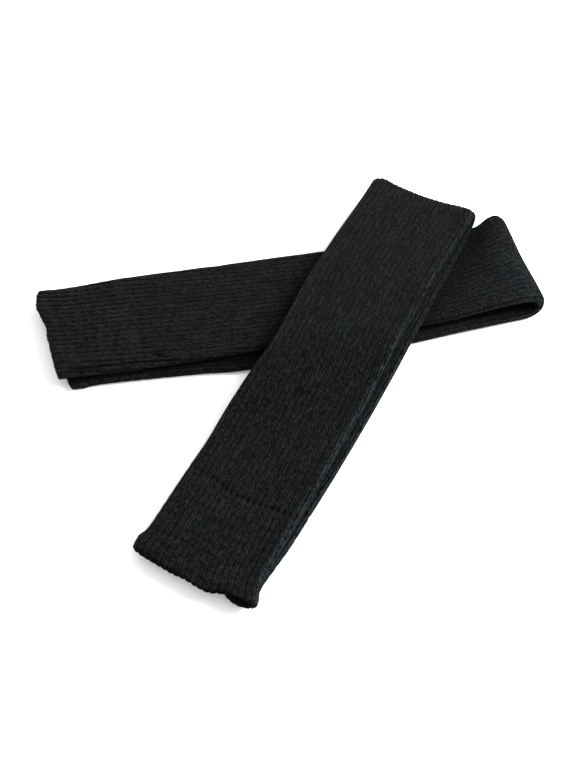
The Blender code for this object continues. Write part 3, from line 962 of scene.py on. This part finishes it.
OVER_UPPER_MOUTH = (
    Mouth(-44, 1.8, 0.4),
    Mouth(-42, -2.0, 0.9),
    Mouth(-38, -4.7, 1.8),
    Mouth(-31, -6.1, 2.6),
    Mouth(-25, -4.8, 1.8),
    Mouth(-20, -2.6, 0.8),
    Mouth(-10, -5.0, 0.2),
    Mouth(2, -4.2, 0.2),
    Mouth(19, -2.9, 0.3),
    Mouth(35, -0.9, 0.2),
    Mouth(46, 0.6, 0.2),
)
OVER_LOWER_MOUTH = (
    Mouth(-40, 3.0, 0.0),
    Mouth(-31, -1.0, 0.0),
    Mouth(-20, 1.0, 0.0),
    Mouth(0, 0.0, 0.0),
    Mouth(30, 2.0, 0.0),
    Mouth(42, 3.2, 0.0),
    Mouth(52, 5.5, 0.0),
)
OVER_LIP = (
    Bend(-44, 0.0),
    Bend(-39, 1.6),
    Bend(-32, 2.6),
    Bend(-25, 1.8),
    Bend(-20, 0.0),
    Bend(46, 0.0),
)
OVER_FOLD = (
    Fold(-49, 386.0, 1.8, 4.2),
    Fold(-42, 389.0, 1.8, 4.2),
    Fold(-20, 387.6, 1.8, 4.2),
    Fold(0, 388.8, 1.8, 4.2),
    Fold(24, 394.0, 1.8, 4.2),
    Fold(36, 398.0, 1.8, 4.2),
    Fold(46, 393.0, 1.8, 4.2),
)
TIGHT_FOLD_OPENS = 40.0

# The rise onto the lower sock and the sag beyond it, by the distance to the lower sock's middle
SOCKS_APART = 0.7
OVER_CLIMB = Ramp(-123.0, 70.0)
OVER_SAG = Ramp(50.0, 170.0)

# Painted highlights on the upper sock's edges, painted shade in the hollow beside the near one and
# on the lower half near the fold, and where the highlights get less bright
OVER_HOLLOW = Streak(0.20, 8.6, 1.5)
OVER_ROLL = Streak(-0.45, 1.1, 1.5)
OVER_ROLL_DIMS = Ramp(200.0, 80.0)
OVER_ROLL_DIMMED = 0.55
OVER_FAR_EDGE = Streak(-0.12, 0.5, 2.0)
OVER_LOWER_EDGE = Streak(-0.45, 0.3, 2.4)
OVER_LOWER_DIMS = Ramp(180.0, 100.0)
OVER_LOWER_CORNER = Streak(-0.35, 0.0, 3.0)
OVER_CORNER_ENDS = Ramp(4.0, 12.0)
OVER_BEYOND = Ramp(325.0, 30.0)
OVER_BEYOND_SHADE = 0.35

# The eyelets at the far side are nearly closed
OVER_CLOSED = Ramp(18.0, 14.0)
OVER_CLOSED_BY = 0.6
OVER_SKEW = (
    Skew(0, 0.0),
    Skew(390, 14.0),
    Skew(780, 14.0),
)

# The bend of the upper sock's row of eyelets
OVER_EYELETS = (
    Bend(-40, 0.8),
    Bend(-10, -1.2),
    Bend(10, -1.0),
    Bend(20, 1.8),
    Bend(27, 3.6),
    Bend(45, 4.4),
)
over_sock = Sock("over", OVER_PLACING, OVER_UPPER, OVER_LOWER, OVER_UPPER_MOUTH,
                 OVER_LOWER_MOUTH, OVER_LIP, OVER_FOLD, OVER_SKEW, 383.0, 23)


def over_lift(along, across, placing):
    """The upper sock climbs onto the lower one and sags beyond it."""
    x, y = to_floor(placing, along, across)
    heading = math.radians(UNDER_PLACING.heading)
    beside = (y - UNDER_PLACING.y) * math.cos(heading) - (x - UNDER_PLACING.x) * math.sin(heading)
    top = 2 * LEG_THICKNESS + HALVES_APART + SOCKS_APART
    return top * rise_over(OVER_CLIMB, beside) * (1.0 - rise_over(OVER_SAG, beside))


def over_gap(sock, along, across):
    """The upper sock's halves lie close up to a tight fold."""
    end = turn_start(sock, across)
    loop = read(sock.fold, "loop", across) - HALVES_APART
    return HALVES_APART + loop * ease((along - end) / TIGHT_FOLD_OPENS + 1.0)


def over_eyelets(spots):
    """The row of eyelets runs a little askew and bent, and closes up at the far side."""
    openness = 1.0 - OVER_CLOSED_BY * rise_over(OVER_CLOSED, spots.across)
    return EYELETS_DOWN + read(OVER_EYELETS, "shift", spots.across), openness


def over_shade(sock, spots):
    """Paint highlights on the upper sock's edges, dimmer past the lower sock, and shade by the roll and
    fold.
    """
    inward = spots.across - read(sock.upper, "near", spots.along)
    outward = read(sock.upper, "far", spots.along) - spots.across
    bright = 1.0 - OVER_ROLL_DIMMED * rise_over(OVER_ROLL_DIMS, spots.along)
    shade = streak_at(OVER_HOLLOW, inward) + bright * streak_at(OVER_ROLL, inward)
    shade = shade + streak_at(OVER_FAR_EDGE, outward)
    shade = shade * (spots.half == UPPER_HALF) * (spots.side_off > FACES_OUT)
    inward = spots.across - read(sock.lower, "near", spots.along)
    outward = read(sock.lower, "far", spots.along) - spots.across
    bright = 1.0 - rise_over(OVER_LOWER_DIMS, spots.along)
    low = OVER_BEYOND_SHADE * rise_over(OVER_BEYOND, spots.along)
    low += bright * streak_at(OVER_LOWER_EDGE, inward)
    low += streak_at(OVER_LOWER_CORNER, outward) * (1.0 - rise_over(OVER_CORNER_ENDS, spots.along))
    return shade + (spots.half == LOWER_HALF) * low


lifts["over"] = over_lift
gaps["over"] = over_gap
shades["over"] = over_shade
over_length = tube_length(over_sock)[0]
over_cuff_knit = knit_material(
    "elastic knit of the upper cuffs",
    sheen=0.011, rib_grooves=0.7, wale_grooves=0.85, strand_contrast=1.3)
over_upper_cuff = knit_piece(
    "over_upper_cuff", over_sock, 0.0, CUFF_LENGTH, CUFF_ROWS, over_cuff_knit,
    cuff_relief(over_sock, 0.0, CUFF_LENGTH, 0.0, over_eyelets), round_ends=(FIRST_END,))

# The upper sock's leg
# The ribbed tube from cuff to cuff, pressed flat and folded in half. It climbs over the lower sock,
# and its tight fold sags a little beyond it.
over_leg_knit = knit_material(
    "ribbed knit of the upper leg",
    sheen=0.014, rib_grooves=1.2, wale_grooves=1.5, strand_contrast=1.95)
over_leg = knit_piece(
    "over_leg", over_sock, CUFF_LENGTH, over_length - CUFF_LENGTH, LEG_ROWS, over_leg_knit,
    leg_relief(over_sock))

# The upper sock's lower cuff
# The other end of the second tube, under the upper cuff. A corner of its rim shows at the far side,
# and its near edge shows as a narrow strip.
over_lower_cuff = knit_piece(
    "over_lower_cuff", over_sock, over_length - CUFF_LENGTH, over_length, CUFF_ROWS, over_cuff_knit,
    cuff_relief(over_sock, over_length - CUFF_LENGTH, over_length, over_length, over_eyelets),
    round_ends=(LAST_END,))

# The floor, the light and the camera
# A pale, even floor under soft light that is stronger from the right and from behind, as the
# bright edges of the knit show. The camera looks down at the socks as the photo does.
FLOOR_SIZE = 12.0
CAMERA_AIM = (-0.00125, -0.01177, 0.0)
CAMERA_ELEVATION = math.radians(50.5)
CAMERA_DISTANCE = 0.771
LENS = 49.2


def look_at(thing, target):
    """Turn a lamp or the camera so that it looks at a point."""
    way = Vector(target) - thing.location
    thing.rotation_euler = way.to_track_quat("-Z", "Y").to_euler()


floor_mesh = bmesh.new()
bmesh.ops.create_grid(floor_mesh, x_segments=1, y_segments=1, size=FLOOR_SIZE / 2)
bmesh.ops.translate(floor_mesh, verts=floor_mesh.verts[:], vec=(0.0, 0.0, -0.0001))
floor_data = bpy.data.meshes.new("floor")
floor_mesh.to_mesh(floor_data)
floor_mesh.free()
floor_material = bpy.data.materials.new("pale floor")
floor_material.use_nodes = True
floor_shader = floor_material.node_tree.nodes["Principled BSDF"]
floor_shader.inputs["Base Color"].default_value = (0.93, 0.93, 0.93, 1.0)
floor_shader.inputs["Roughness"].default_value = 0.9
floor_data.materials.append(floor_material)
floor = bpy.data.objects.new("floor", floor_data)
bpy.context.scene.collection.objects.link(floor)

world = bpy.data.worlds.new("pale studio")
world.use_nodes = True
world.node_tree.nodes["Background"].inputs["Color"].default_value = (1.0, 1.0, 1.0, 1.0)
world.node_tree.nodes["Background"].inputs["Strength"].default_value = 1.05
bpy.context.scene.world = world

Lamp = namedtuple("Lamp", "name place size power colour")
LAMPS = (
    Lamp("key", (1.25, 0.30, 0.90), 1.0, 66.0, (0.90, 0.97, 1.0)),
    Lamp("fill", (-0.5, -1.3, 0.9), 1.0, 6.0, (1.0, 0.96, 0.90)),
    Lamp("back", (-0.3, 1.4, 0.45), 1.0, 9.0, (1.0, 1.0, 1.0)),
)
for lamp in LAMPS:
    light = bpy.data.lights.new(lamp.name, "AREA")
    light.energy = lamp.power
    light.size = lamp.size
    light.color = lamp.colour
    thing = bpy.data.objects.new(lamp.name, light)
    thing.location = lamp.place
    look_at(thing, (0.0, 0.0, 0.0))
    bpy.context.scene.collection.objects.link(thing)

camera_data = bpy.data.cameras.new("camera")
camera_data.lens = LENS
camera_data.sensor_width = 36.0
camera_data.clip_start = 0.01
camera = bpy.data.objects.new("camera", camera_data)
camera.location = (
    CAMERA_AIM[0],
    CAMERA_AIM[1] - CAMERA_DISTANCE * math.cos(CAMERA_ELEVATION),
    CAMERA_AIM[2] + CAMERA_DISTANCE * math.sin(CAMERA_ELEVATION),
)
look_at(camera, CAMERA_AIM)
bpy.context.scene.collection.objects.link(camera)
bpy.context.scene.camera = camera
bpy.context.scene.view_settings.view_transform = "Standard"
